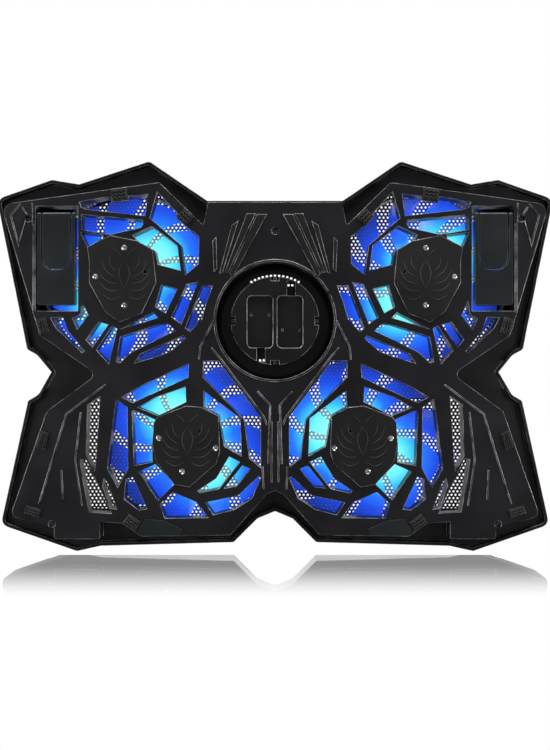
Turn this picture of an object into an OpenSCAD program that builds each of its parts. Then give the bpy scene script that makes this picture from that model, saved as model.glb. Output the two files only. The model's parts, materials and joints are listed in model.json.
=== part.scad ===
// Laptop cooling pad with four fans, folding legs and flip-up laptop stops.
// It lies on its rubber pads at z = 0, with its rear edge towards +Y and the deck on top.

/* [Heights] */
// How far the rubber pads stand out below the cover
pad_h = 2; // [1.6:0.1:2.4]
// Height of the deck's top face above the table
deck_top = 27; // [27:0.5:29]
// Thickness of the deck
deck_t = 2; // [1.8:0.1:2.2]
// Thickness of the bottom cover's plate
cover_t = 2.2; // [2:0.1:2.4]
// Depth of the grille's ribs, measured from the cover's outer face
rib_depth = 9.5; // [9:0.1:9.5]
// Height of the skirt's lower edge above the table
skirt_low = 9; // [8:0.5:10]
// Thickness of the perforated steel sheets
mesh_t = 0.8; // [0.6:0.1:0.8]

/* [Shells] */
// Thickness of the deck's outer skirt
skirt_t = 2.6; // [2:0.1:2.8]
// Thickness of the cover's side wall
side_wall_t = 2; // [1.6:0.1:2.2]
// Radius of the round opening in the middle of the cover
ring_r = 43.2; // [42:0.1:43.5]
// Radius of the disc inside that opening
disc_r = 32.5; // [31:0.5:34]
// Radius of the badge in the deck
badge_r = 37.9; // [37:0.1:38]

/* [Fans] */
// Number of blades on each fan
blade_count = 11; // [7:1:11]
// Radius of the blade tips
blade_r = 62; // [58:0.5:62]
// Pitch of the blades
blade_pitch = 16; // [10:1:18]
// Radius of the fan hub
hub_r = 19.2; // [18:0.1:19.4]
// Radius of the fan shaft
shaft_r = 1.5; // [1:0.1:1.6]
// Radial clearance of everything that turns on a pin or shaft
running_gap = 0.05; // [0.02:0.01:0.08]

/* [Legs and stops] */
// Width of a leg
leg_w = 27.8; // [26:0.1:28]
// Length of the tall leg, from its free end to the hinge
leg_len = 65.8; // [60:0.1:66]
// Length of the low leg inside it
low_leg_len = 39.1; // [34:0.1:42]
// Thickness of the legs
leg_t = 6; // [5:0.1:6]
// Width of a laptop stop
stop_w = 33.6; // [30:0.1:34]

/* [Controls] */
// Radius of the thumb dials
dial_r = 6.5; // [6:0.1:6.8]
// Thickness of the thumb dials
dial_t = 4; // [3:0.1:4]

/* [Hidden] */

$fn = 64;
eps = 0.01;      // how far a cut runs past a face
fit_gap = 0.3;   // gap between shells that only lie beside each other

// Heights of the layers
plate_top = pad_h + cover_t;
rib_top = pad_h + rib_depth;
channel_z = 12;
flange_t = 1.6;
deck_z = deck_top - deck_t;
mesh_z = deck_z - mesh_t;
mesh_margin = 2.5;   // how far a sheet reaches under the deck around its opening
shroud_top = 22.5;
shield_low = 1.3;
ridge_h = 0.6;

// Fans: name, centre, turn of the motor base, its screws' angles from there, angle of the first light
rear_fan = [110, 58];
front_fan = [64, -63.5];
FANS = [["rear_right", rear_fan.x, rear_fan.y, 0, [90, 0, -90], 141],
        ["rear_left", -rear_fan.x, rear_fan.y, 0, [90, 180, -90], 130],
        ["front_right", front_fan.x, front_fan.y, 10, [0, 180, -90], 58],
        ["front_left", -front_fan.x, front_fan.y, -10, [180, 0, -90], 15]];
shroud_r = 63.4;
shroud_seat = 0.6;
shroud_t = 1;
motor_pocket_r = 21.8;
motor_floor = 5.2;
screw_circle_r = 21;
hub_low = 8;
hub_top = 23.2;
blade_low = 14.2;
blade_high = 23;

// Outlines for x > 0, from the front to the rear: x, y and the corner's radius
rim_half = [[0, -114.8, 0], [13, -120.2, 3], [30.6, -137.8, 3], [100.7, -139.5, 0], [129.2, -140.5, 0],
            [146.9, -144.4, 3], [203.3, -124.7, 6], [183.3, -33, 3.5], [176.8, -29.2, 0], [166.8, -11.6, 0.6],
            [177.7, 1.9, 0], [183.9, 5.2, 4], [206.2, 116.6, 6.5], [165.4, 130.9, 0], [145.2, 127.6, 3],
            [93.2, 144.7, 4], [50.2, 115.4, 2]];
cover_half = [[0, -98.3, 0], [6.2, -101, 1.5], [32.5, -130.9, 4], [97.5, -131.9, 3], [111.5, -122.2, 2],
              [127.9, -121.2, 0], [127.9, -133.7, 1.5], [161.5, -133.7, 1.5], [161.5, -125.9, 0],
              [193.6, -116.8, 5], [166.8, -40.3, 3.5], [130.1, -13.3, 4.3], [171.9, 15.2, 1.5],
              [200.2, 110.8, 7], [84.5, 126.95, 3], [52.3, 95.6, 1], [49, 112.4, 1]];
notch_open = [[176.8, -29.2], [190, -34], [190, 8], [177.7, 1.9], [158, -12]];

// Opening of the deck over the right-hand fans, and the shields that cover the fan motors
deck_opening = [[8, -97], [26, -121], [118, -122], [122, -116], [166, -115], [173, -104], [158, -40],
                [144, -13], [162, 10], [176, 88], [166, 106], [146, 112], [94, 128], [62, 106], [38, 102],
                [38, 62], [30, 26], [30, 0], [8, -45]];
rear_shield = [[137, 79.5], [120.5, 88], [100.5, 84], [89.5, 77.5], [87, 53.5], [97.5, 31.5], [113.5, 25],
               [124, 32.5], [135.5, 53.5], [135.5, 69]];
front_shield = [[65, -36.5], [85.5, -44.5], [88.5, -48.5], [89.5, -64], [87, -76.5], [73.5, -93.5],
                [62.5, -95.5], [43, -78.5], [40.5, -70], [41.5, -43.5], [54, -37.5]];

// Air windows between the ribs, for x > 0
rear_windows = [
    [[143, 112.5], [136, 114], [120.5, 116.5], [105.5, 117], [93, 118.5], [95, 102.5], [139, 107.5],
     [143, 109.5]],
    [[141.5, 103.5], [97, 99.5], [96.5, 96.5], [98, 94], [120, 89], [127.5, 90], [141.5, 92.5]],
    [[142, 90.5], [125.5, 88.5], [126, 86], [137, 80]],
    [[86, 120], [70.5, 103.5], [71.5, 101], [61, 91.5], [59, 90.5], [55.5, 87], [56, 67.5], [65.5, 59.5],
     [68.5, 81], [91.5, 101]],
    [[104, 88.5], [90, 95], [71.5, 81], [69, 62.5], [85.5, 67], [87.5, 77], [101, 84.5]],
    [[83, 52], [71.5, 49], [80, 31.5], [87.5, 36]],
    [[64.5, 52.5], [56.5, 54], [68.5, 23.5], [75.5, 28.5]],
    [[53.5, 51.5], [45.5, 51.5], [50.5, 38], [53.5, 27], [62, 18], [65.5, 20.5]],
    [[89, 32], [85.5, 28], [111, 20.5]],
    [[113, 14], [85, 23], [78, 23.5], [73, 18.5], [105, 3], [113.5, -5], [116, -4]],
    [[102.5, -5], [98.5, 1.5], [67, 15], [65.5, 13], [76.5, 3.5], [87, -0.5]],
    [[129, 25], [122, 23], [133.5, 6.5], [138, 12]],
    [[119, 22], [115.5, 20], [121.5, -5.5], [130.5, 4.5]],
    [[141, 39.5], [136.5, 30], [144.5, 19.5], [148, 27.5], [143, 30]],
    [[164, 28], [155, 28.5], [151.5, 18.5], [139, 3.5], [141, 2.5], [160, 20.5]]];
front_windows = [
    [[63, -5.5], [63.5, -15.5], [104, -34], [112, -30], [98.5, -22]],
    [[100, -37.5], [87, -30], [65.5, -22.5], [65, -33.5], [85.5, -43.5]],
    [[103.5, -39.5], [87.5, -46.5], [90, -64], [89.5, -77.5], [103, -80], [104.5, -41]],
    [[116, -31.5], [108, -37.5], [107.5, -82], [115, -96], [122.5, -82], [119, -54]],
    [[109, -90], [104, -88.5], [93.5, -111.5], [99.5, -112.5], [110, -104.5]],
    [[99.5, -84.5], [87.5, -79], [73.5, -93.5], [85.5, -105.5]],
    [[84, -108], [74.5, -99.5], [57, -107], [49, -118], [80.5, -118.5]],
    [[51, -107], [27, -102], [12, -88], [10.5, -89], [17, -104], [29.5, -112], [45, -116]],
    [[56.5, -98.5], [43, -89.5], [33.5, -73.5], [25.5, -77.5], [41, -97], [55, -100]],
    [[37, -96.5], [24, -80], [18, -82.5], [28.5, -95.5]],
    [[52, -25.5], [25.5, -45.5], [24.5, -73], [37, -66], [41, -43.5], [52.5, -37]],
    [[52.5, -3.5], [41.5, -3.5], [10.5, -44.5], [10.5, -81.5], [18.5, -75], [22.5, -46.5], [52.5, -15.5]]];
side_windows = [
    [[137, -35.5], [128, -29.5], [131, -78], [132, -83.5], [138, -73]],
    [[142.5, -75.5], [138.5, -75], [119.5, -115], [136, -114], [140.5, -89.5]],
    [[125, -89.5], [122.5, -92.5], [115.5, -112], [120.5, -111], [126, -94.5]]];
side_zone = [[126, -27], [139, -34], [145, -75], [143, -90], [138.5, -117], [113, -117], [119, -92],
             [128.5, -80]];

// Raised lines and fins on the cover's outer face, for x > 0
ridge_lines = [
    [[45, 25.5], [54.5, 7], [55.5, -2.5]],
    [[46.5, 6], [39, -3], [8, -44.5], [6, -50]],
    [[12.5, -26], [3.5, -36], [5, -78.5]],
    [[124, -21], [152.5, -42.5], [172.5, -108]],
    [[142, -41.5], [146, -76], [141, -109]],
    [[156, -83.5], [155, -104.5]],
    [[176.5, 96.5], [176.5, 31.5]],
    [[177.5, 111.5], [177.5, 98]],
    [[186, 111], [193, 103], [187.5, 82], [181.5, 104], [184.6, 108.8]],
    [[9, -81], [8.5, -97]],
    [[2.5, -48], [2.5, -92]]];
ridge_w = 0.9;
fins = [
    [[6, 103.5], [13, 103.5], [33, 60.5], [31, 58]],
    [[14.5, 104], [20.5, 104], [36.5, 61.5], [34.5, 61]],
    [[27, 98.5], [31.5, 95.5], [40.5, 60.5], [38.5, 61]],
    [[43, 86.5], [45.5, 84], [44.5, 62], [42.5, 64]]];

// Rubber pads for x > 0: centre, size and turn
pads = [[113.7, 118, 11, 8, -8], [65.5, 102, 9, 8, 45], [169.3, 22, 6.5, 11, -16],
        [169.6, -61.5, 5.5, 12, 19], [177, -113.5, 11, 6, 17], [104.4, -121.2, 10, 7, 35]];
pad_seat = 1.2;    // how deep a pad sits in the cover
pad_frame = 1;     // width of the cover's seat around a pad

// Screws that close the case, for x >= 0
case_screw_spots = [[0, 91.5], [180.2, 100.7], [163.1, -122.7]];
post_r = 2.6;
case_screw_r = 1.3;
fan_screw_r = 1.1;

// Middle of the pad
middle_y = 26;
ring_t = 1.5;
disc_z = 3.6;
disc_t = 2.9;
disc_pocket_depth = 1.6;
badge_flange_r = 41;
badge_flange_t = 1;

// Legs: the recess, the hinge and the outlines for x > 0
recess = [144, 175, 33, 109.5];
recess_wall = 2;
leg_x = 146.5;
leg_hinge = [103.2, 5.6];
leg_pin_r = 1.5;
leg_low = leg_hinge.y - leg_t / 2;
low_leg_groove = 0.8;
low_leg_span = [149, 171.2];
leg_skin = 2.8;

// Laptop stops at the front points
stop_x = 128.2;
stop_hinge = [-134.3, 24.8];
stop_pin_r = 1;
stop_barrel_r = 2.2;
stop_back = -120.6;
stop_t = 2.6;
stop_block = [124, 166, -137.2, -118.8, 20.5];
stop_pocket_z = 22.2;
stop_pocket = [-136.9, -120.1];

// Controls at the rear edge
rear_edge = 115.4;
board = [-46, 46, 95, 112];
board_z = 14;
board_t = 1.6;
standoff = [33, 98];
dial_x = [-1, 21];
dial_y = rear_edge + 2 - dial_r;
dial_z = board_z + board_t + 1.8;
dial_axle_r = 2;
usb_x = [-22, -39];
usb_size = [13.1, 14, 5.7];
usb_wall = 0.3;
usb_z = board_z + board_t;

// Wires from the board to the fans, for x > 0
rear_wire = [[41, 96.5], [41, 66], [50, 61], [60, 58], [66, 56], [72, 55.8], [89.5, 59]];
front_wire = [[37.5, 96.5], [37.5, 66], [47.3, 36], [47.8, 16], [37, -4], [7.2, -43.5], [7.2, -85.2],
              [43.55, -66]];
wire_w = 1.4;
wire_z = rib_top - 0.9;
wire_t = 0.8;

function unit(v) = v / norm(v);
function xy(p) = [p[0], p[1]];
function left_of(v) = [-v.y, v.x];
function turned(v, a) = [v.x * cos(a) - v.y * sin(a), v.x * sin(a) + v.y * cos(a)];
function before(p, i) = xy(p[(i + len(p) - 1) % len(p)]);
function after(p, i) = xy(p[(i + 1) % len(p)]);
function sharp(points) = [for (p = points) [p.x, p.y, 0]];

// A whole outline from its half at x > 0
function whole(half) = concat(half, [for (i = [len(half) - 1:-1:0])
    if (half[i].x > 0) [-half[i].x, half[i].y, half[i][2]]]);

// The outline moved inwards by d, with its corners' radii kept concentric; it runs anticlockwise
function inset(p, d) = [for (i = [0:len(p) - 1])
    let (b = xy(p[i]), u = unit(b - before(p, i)), v = unit(after(p, i) - b),
         m = b + d * (left_of(u) + left_of(v)) / (1 + u * v))
    [m.x, m.y, max(0, p[i][2] - sign(cross(u, v)) * d)]];

// The outline's points, with each corner as an arc of its radius
function rounded(p, steps = 4) = [for (i = [0:len(p) - 1])
    let (b = xy(p[i]), u = unit(b - before(p, i)), v = unit(after(p, i) - b), r = p[i][2],
         side = sign(cross(u, v)), angle = acos(min(1, u * v)))
    each r < 0.2 || angle < 2 ? [b] :
        let (start = b - u * r * tan(angle / 2), hub = start + side * r * left_of(u))
        [for (k = [0:steps]) hub + turned(start - hub, side * angle * k / steps)]];

module slab(points, low, high) translate([0, 0, low]) linear_extrude(high - low) polygon(points);
module block(x0, x1, y0, y1, z0, z1) translate([x0, y0, z0]) cube([x1 - x0, y1 - y0, z1 - z0]);
module post(x, y, r, z0, z1) translate([x, y, z0]) cylinder(r = r, h = z1 - z0);
module both_sides() {
    children();
    mirror([1, 0, 0]) children();
}
module x_rod(x0, x1, y, z, r) translate([x0, y, z]) rotate([0, 90, 0]) cylinder(r = r, h = x1 - x0);

// The outline of a strip of width w along a line of points, with mitred bends
function along(p, i) = let (k = max(0, min(len(p) - 2, i))) unit(p[k + 1] - p[k]);
function beside(p, i, d) = let (u = along(p, i - 1), v = along(p, i))
    p[i] + d * (left_of(u) + left_of(v)) / (1 + u * v);
function band(p, w) = concat([for (i = [0:len(p) - 1]) beside(p, i, w / 2)],
                             [for (i = [len(p) - 1:-1:0]) beside(p, i, -w / 2)]);
module strip(points, w, z0, z1) slab(band(points, w), z0, z1);

module case_screw_places() for (s = case_screw_spots) {
    translate(s) children();
    if (s.x > 0) translate([-s.x, s.y]) children();
}
module fan_places() for (fan = FANS) translate([fan[1], fan[2]]) rotate([0, 0, fan[3]]) children();
module fan_screw_places() for (fan = FANS, a = fan[4])
    translate([fan[1], fan[2]]) rotate([0, 0, fan[3] + a]) translate([screw_circle_r, 0]) children();

// Top shell

module mesh_opening(d) difference() {
    polygon([for (p = inset(sharp(deck_opening), -d)) xy(p)]);
    translate([0, middle_y]) circle(r = ring_r + 4.3 - d);
}

module stop_blocks() both_sides() {
    block(stop_block[0], stop_block[1], stop_block[2], stop_block[3], stop_block[4], deck_z + eps);
}

module stop_pockets() both_sides() {
    block(stop_x - 0.5, stop_x + stop_w + 0.5, stop_pocket[0], stop_pocket[1], stop_pocket_z, deck_top + 1);
    x_rod(stop_x - 2, stop_x + stop_w + 2, stop_hinge.x, stop_hinge.y, stop_pin_r);
}

module rear_cuts() {
    for (x = dial_x)
        block(x - 7, x + 7, rear_edge - skirt_t - 1, rear_edge + 1, dial_z - 0.4, dial_z + dial_t + 0.4);
    for (x = usb_x)
        block(x - usb_size.x / 2 - 0.2, x + usb_size.x / 2 + 0.2, rear_edge - skirt_t - 1, rear_edge + 1,
              usb_z - 0.2, usb_z + usb_size.z + 0.2);
}

module top_frame() color([0.035, 0.035, 0.04]) difference() {
    union() {
        difference() {
            slab(rounded(whole(rim_half)), skirt_low, deck_top);
            slab(rounded(inset(whole(rim_half), skirt_t)), skirt_low - 1, deck_z);
        }
        stop_blocks();
        case_screw_places() post(0, 0, post_r, plate_top, stop_block[4] + 0.5);
        // The rear posts reach the deck, and the front ones end at the stops' blocks
        for (s = [case_screw_spots[0], case_screw_spots[1]], side = [-1, 1])
            post(side * s.x, s.y, post_r, plate_top, deck_z + eps);
    }
    both_sides() translate([0, 0, deck_z - 1]) linear_extrude(deck_t + 2) mesh_opening(0);
    both_sides() slab(notch_open, skirt_low - 1, channel_z);
    post(0, middle_y, badge_r + 0.1, deck_z - 1, deck_top + 1);
    case_screw_places() post(0, 0, case_screw_r, plate_top - 1, plate_top + 8.3);
    stop_pockets();
    rear_cuts();
}

module mesh_panel() color([0.06, 0.06, 0.065])
    translate([0, 0, mesh_z]) linear_extrude(mesh_t) mesh_opening(mesh_margin);
module mesh_panel_right() mesh_panel();
module mesh_panel_left() mirror([1, 0, 0]) mesh_panel();

module centre_badge() color([0.05, 0.05, 0.055]) translate([0, middle_y, 0]) difference() {
    union() {
        post(0, 0, badge_flange_r, deck_z - badge_flange_t, deck_z);
        post(0, 0, badge_r, deck_z - badge_flange_t, deck_top);
    }
    // Vent holes, in an arc towards the rear and under the disc's two slots
    for (k = [0:12]) rotate([0, 0, 60 + 5 * k]) post(36, 0, 0.85, deck_z - 2, deck_top + 1);
    for (x = [8.6, 11.4, -10.4, -13.2], s = [sign(x)]) post(x, -28.6 * s, 0.85, deck_z - 2, deck_top + 1);
    // A ring and three chevrons let into the top
    difference() {
        post(0, 0, 32, deck_top - 0.5, deck_top + 1);
        post(0, 0, 30.5, deck_top - 1, deck_top + 2);
    }
    for (k = [0:2]) translate([0, 9 - 9 * k, 0])
        strip([[-14, -7], [0, 5], [14, -7]], 2.4, deck_top - 0.5, deck_top + 1);
}

// Bottom shell

module leg_recess_walls() both_sides()
    block(recess[0] - recess_wall, recess[1] + recess_wall, recess[2] - recess_wall, recess[3] + recess_wall,
          pad_h, rib_top);
module leg_recess_cut() both_sides() {
    block(recess[0], recess[1], recess[2], recess[3], 0, rib_top);
    x_rod(recess[0] - recess_wall - 1, recess[1] + recess_wall + 1, leg_hinge.x, leg_hinge.y, leg_pin_r);
}

module pad_places() both_sides() for (p = pads) translate([p[0], p[1]]) rotate([0, 0, p[4]]) children();
module pad_shape(i, grow) square([pads[i][2] + 2 * grow, pads[i][3] + 2 * grow], center = true);
module pad_boxes(grow, z0, z1) both_sides() for (i = [0:len(pads) - 1])
    translate([pads[i][0], pads[i][1], z0]) rotate([0, 0, pads[i][4]])
        linear_extrude(z1 - z0) pad_shape(i, grow);

module cover_plate() {
    difference() {
        union() {
            slab(rounded(whole(cover_half)), pad_h, plate_top);
            fan_places() post(0, 0, shroud_r + shroud_t, pad_h, rib_top);
            both_sides() slab(side_zone, pad_h, rib_top);
        }
        both_sides() for (w = concat(rear_windows, front_windows, side_windows)) slab(w, 0, rib_top + 1);
    }
    pad_boxes(pad_frame, pad_h, plate_top);
    both_sides() for (s = [rear_shield, front_shield]) slab(s, shield_low, rib_top);
    leg_recess_walls();
}

module cover_sides() {
    difference() {
        slab(rounded(whole(cover_half)), pad_h, channel_z);
        slab(rounded(inset(whole(cover_half), side_wall_t)), pad_h - 1, channel_z + 1);
    }
    difference() {
        slab(rounded(inset(whole(rim_half), skirt_t + fit_gap)), channel_z, channel_z + flange_t);
        slab(rounded(inset(whole(cover_half), side_wall_t)), channel_z - 1, channel_z + flange_t + 1);
    }
}

module shrouds() difference() {
    fan_places() post(0, 0, shroud_r + shroud_t, rib_top - shroud_seat, shroud_top);
    fan_places() post(0, 0, shroud_r, rib_top - 1, shroud_top + 1);
}

module cover_relief() both_sides() {
    for (line = ridge_lines) strip(line, ridge_w, pad_h - ridge_h, pad_h + eps);
    for (f = fins) slab(f, pad_h - ridge_h, pad_h + eps);
}

module motor_pocket_cuts() {
    fan_places() post(0, 0, motor_pocket_r, motor_floor, rib_top + 1);
    fan_screw_places() {
        post(0, 0, 2.5, motor_floor, rib_top + 1);
        post(0, 0, fan_screw_r + 0.1, 0, motor_floor + 1);
        post(0, 0, 2.1, 0, 1.9);
    }
    both_sides() {
        post(rear_fan.x - 15, rear_fan.y + 3.5, 1.2, 0, motor_floor + 1);
        post(front_fan.x - 9.2, front_fan.y + 8.3, 1.2, 0, motor_floor + 1);
    }
}

module bottom_cover() color([0.11, 0.11, 0.12]) difference() {
    union() {
        cover_plate();
        cover_sides();
        shrouds();
        cover_relief();
        post(0, middle_y, ring_r + ring_t, pad_h - 0.4, deck_z - 1);
        both_sides() post(standoff.x, standoff.y, 2.5, plate_top - eps, board_z);
    }
    post(0, middle_y, ring_r, 0, deck_z);
    leg_recess_cut();
    motor_pocket_cuts();
    pad_boxes(0, 0, pad_h + pad_seat);
    both_sides() strip(rear_wire, wire_w + 0.6, wire_z - 0.1, rib_top + 0.5);
    both_sides() strip(front_wire, wire_w + 0.6, wire_z - 0.1, rib_top + 0.5);
    case_screw_places() {
        post(0, 0, post_r + fit_gap, plate_top, channel_z + flange_t + 1);
        post(0, 0, case_screw_r + 0.2, 0, plate_top + 1);
        post(0, 0, 2.5, 0, pad_h + 1.4);
    }
    both_sides() post(standoff.x, standoff.y, fan_screw_r, board_z - 5, board_z + 1);
}

module rubber_pads() color([0.05, 0.05, 0.05]) pad_boxes(0, 0, pad_h + pad_seat);

module centre_disc() color([0.12, 0.12, 0.125]) translate([0, middle_y, 0]) difference() {
    union() {
        post(0, 0, disc_r, disc_z, disc_z + disc_t);
        for (a = [35, 145, 215, 325]) rotate([0, 0, a])
            post(27, 0, 2.5, disc_z + disc_t - eps, deck_z - badge_flange_t);
    }
    // Two round-cornered pockets, each with a slot that runs out towards the rim
    for (x = [1.5, -20.5])
        slab(rounded([[x, -20, 3.5], [x + 19, -20, 3.5], [x + 19, 18.5, 3.5], [x, 18.5, 3.5]]),
             disc_z - 1, disc_z + disc_pocket_depth);
    block(7.3, 13.3, -30, -19.9, 0, 10);
    block(-14.8, -8.8, 18.4, 29, 0, 10);
    for (x = [-5.5, -18, 4.5, 17.5], s = [sign(x)]) post(x, 5.5 * s - 1, 0.7, 0, 10);
    // Snap notches in the rim
    for (a = [0:90:270]) rotate([0, 0, a]) difference() {
        block(disc_r - 3.2, disc_r + 1, -3, 3, 0, 10);
        block(disc_r - 4, disc_r - 0.8, -1.2, 1.2, disc_z + 0.8, 9);
    }
}

module case_screws() color([0.2, 0.2, 0.21]) case_screw_places() {
    post(0, 0, 2.3, pad_h + 0.3, pad_h + 1.4);
    post(0, 0, case_screw_r, pad_h + 1.4 - eps, plate_top + 8);
}

// Fans

module rotor(fan) color([0.05, 0.25, 0.9]) translate([fan[1], fan[2], 0]) difference() {
    union() {
        post(0, 0, hub_r, hub_low, hub_top);
        intersection() {
            for (i = [0:blade_count - 1]) rotate([0, 0, 360 / blade_count * i])
                translate([0, 0, (blade_low + blade_high) / 2]) rotate([blade_pitch, 0, 0])
                    slab([[hub_r - 0.6, -5], [blade_r + 2, -14], [blade_r + 2, 14], [hub_r - 0.6, 5]],
                         -0.6, 0.6);
            post(0, 0, blade_r, blade_low, blade_high);
        }
    }
    difference() {
        post(0, 0, hub_r - 1.6, hub_low - 1, hub_top - 1.6);
        post(0, 0, 3.5, hub_top - 3.6, hub_top);
    }
    post(0, 0, shaft_r, hub_low, hub_top - 0.8);
}

module shaft(fan) color([0.7, 0.7, 0.72]) post(fan[1], fan[2], shaft_r, 7.4, hub_top - 0.8);

module magnet(fan) color([0.25, 0.24, 0.23]) translate([fan[1], fan[2], 0]) difference() {
    post(0, 0, hub_r - 1.6, 9, 18);
    post(0, 0, hub_r - 3.6, 8, 19);
}

module stator(fan) color([0.5, 0.3, 0.12]) translate([fan[1], fan[2], 0]) difference() {
    post(0, 0, hub_r - 4.3, 8.6, 18);
    post(0, 0, 3.2, 8, 19);
    for (a = [45:90:315]) rotate([0, 0, a]) post(9, 0, 3.6, 8, 19);
}

module bearing(fan) color([0.75, 0.6, 0.3]) translate([fan[1], fan[2], 0]) difference() {
    post(0, 0, 3.2, motor_floor + 1.6, 19);
    post(0, 0, shaft_r + running_gap, motor_floor, 20);
}

module fan_base(fan) color([0.08, 0.08, 0.08])
translate([fan[1], fan[2], 0]) rotate([0, 0, fan[3]]) difference() {
    union() {
        post(0, 0, motor_pocket_r - 0.4, motor_floor, motor_floor + 1.6);
        for (a = fan[4]) rotate([0, 0, a]) post(screw_circle_r, 0, 2.1, motor_floor, motor_floor + 1.6);
    }
    for (a = fan[4]) rotate([0, 0, a]) post(screw_circle_r, 0, fan_screw_r, 0, motor_floor + 2);
}

module led_ring(fan) color([0.9, 0.9, 0.88]) translate([fan[1], fan[2], 0]) difference() {
    post(0, 0, 24, rib_top, rib_top + 1);
    post(0, 0, motor_pocket_r + 0.1, rib_top - 1, rib_top + 2);
}

module led_chips() color([0.5, 0.8, 1]) for (fan = FANS, k = [0:3])
    translate([fan[1], fan[2], 0]) rotate([0, 0, fan[5] + 90 * k])
        block(motor_pocket_r + 0.2, 23.9, -1.5, 1.5, rib_top + 1, rib_top + 2);

module fan_screws() color([0.75, 0.75, 0.76]) fan_screw_places() {
    post(0, 0, 1.9, 0.9, 1.9);
    post(0, 0, fan_screw_r, 1.9 - eps, motor_floor + 1.6);
}

// Legs

module leg_body() difference() {
    union() {
        slab(rounded([[leg_x, leg_hinge.x - leg_len, 1.5], [leg_x + leg_w, leg_hinge.x - leg_len, 1.5],
                      [leg_x + leg_w, leg_hinge.x, 0], [leg_x, leg_hinge.x, 0]]), leg_low, leg_low + leg_t);
        x_rod(leg_x, leg_x + leg_w, leg_hinge.x, leg_hinge.y, leg_t / 2);
    }
    slab(rounded(low_leg_outline(0)), 0, leg_low + leg_t + 1);
    block(leg_x + 2, leg_x + leg_w - 2, leg_hinge.x - leg_len + 2,
          leg_hinge.x - low_leg_len - low_leg_groove - 2, leg_low + leg_skin, leg_low + leg_t + 1);
    x_rod(leg_x - 1, leg_x + leg_w + 1, leg_hinge.x, leg_hinge.y, leg_pin_r + running_gap);
}
function low_leg_outline(d) = let (front = leg_hinge.x - low_leg_len - low_leg_groove + d)
    [[low_leg_span[0] + d, front, 9 - d], [low_leg_span[1] - d, front, 9 - d],
     [low_leg_span[1] - d, d > 0 ? leg_hinge.x : 112, 0],
     [low_leg_span[0] + d, d > 0 ? leg_hinge.x : 112, 0]];
module low_leg_body() difference() {
    union() {
        slab(rounded(low_leg_outline(low_leg_groove)), leg_low, leg_low + leg_t);
        x_rod(low_leg_span[0] + low_leg_groove, low_leg_span[1] - low_leg_groove, leg_hinge.x, leg_hinge.y,
              leg_t / 2);
    }
    block(low_leg_span[0] + 3, low_leg_span[1] - 3, leg_hinge.x - low_leg_len + 4, leg_hinge.x - 6,
          leg_low + leg_skin, leg_low + leg_t + 1);
    x_rod(low_leg_span[0], low_leg_span[1], leg_hinge.x, leg_hinge.y, leg_pin_r + running_gap);
}
module leg_pin_body()
    x_rod(recess[0] - recess_wall + 0.3, recess[1] + recess_wall - 0.3, leg_hinge.x, leg_hinge.y, leg_pin_r);

module leg_right() color([0.17, 0.19, 0.2]) leg_body();
module leg_left() color([0.17, 0.19, 0.2]) mirror([1, 0, 0]) leg_body();
module low_leg_right() color([0.17, 0.19, 0.2]) low_leg_body();
module low_leg_left() color([0.17, 0.19, 0.2]) mirror([1, 0, 0]) low_leg_body();
module leg_pin_right() color("silver") leg_pin_body();
module leg_pin_left() color("silver") mirror([1, 0, 0]) leg_pin_body();

// Laptop stops

module stop_body() difference() {
    union() {
        block(stop_x, stop_x + stop_w, stop_hinge.x, stop_back, deck_top - stop_t, deck_top);
        block(stop_x, stop_x + stop_w, stop_back - 2, stop_back, deck_top - eps, deck_top + 0.8);
        x_rod(stop_x, stop_x + stop_w, stop_hinge.x, stop_hinge.y, stop_barrel_r);
    }
    x_rod(stop_x - 1, stop_x + stop_w + 1, stop_hinge.x, stop_hinge.y, stop_pin_r + running_gap);
}
module stop_pin_body() x_rod(stop_x - 1.8, stop_x + stop_w + 1.8, stop_hinge.x, stop_hinge.y, stop_pin_r);

module stop_right() color([0.06, 0.06, 0.065]) stop_body();
module stop_left() color([0.06, 0.06, 0.065]) mirror([1, 0, 0]) stop_body();
module stop_pin_right() color("silver") stop_pin_body();
module stop_pin_left() color("silver") mirror([1, 0, 0]) stop_pin_body();

// Controls and wiring

module control_board() color([0.05, 0.3, 0.15]) difference() {
    block(board[0], board[1], board[2], board[3], board_z, board_z + board_t);
    both_sides() post(standoff.x, standoff.y, fan_screw_r, board_z - 1, board_z + board_t + 1);
}

module board_screws() color("silver") both_sides() {
    post(standoff.x, standoff.y, 2.2, board_z + board_t, board_z + board_t + 1.4);
    post(standoff.x, standoff.y, fan_screw_r, board_z - 4.8, board_z + board_t + eps);
}

module usb_shell(x) color([0.75, 0.75, 0.76]) difference() {
    block(x - usb_size.x / 2, x + usb_size.x / 2, rear_edge - usb_size.y, rear_edge,
          usb_z, usb_z + usb_size.z);
    block(x - usb_size.x / 2 + usb_wall, x + usb_size.x / 2 - usb_wall, rear_edge - usb_size.y + usb_wall,
          rear_edge + 1, usb_z + usb_wall, usb_z + usb_size.z - usb_wall);
}
module usb_port_inner() usb_shell(usb_x[0]);
module usb_port_outer() usb_shell(usb_x[1]);
module usb_tongues() color([0.05, 0.05, 0.06]) for (x = usb_x) {
    block(x - 6.1, x + 6.1, rear_edge - usb_size.y + usb_wall, rear_edge - usb_size.y + 4,
          usb_z + usb_wall, usb_z + usb_size.z - usb_wall);
    block(x - 5.5, x + 5.5, rear_edge - usb_size.y + 3.9, rear_edge - 1.8, usb_z + 3.3, usb_z + 5.1);
}

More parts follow.
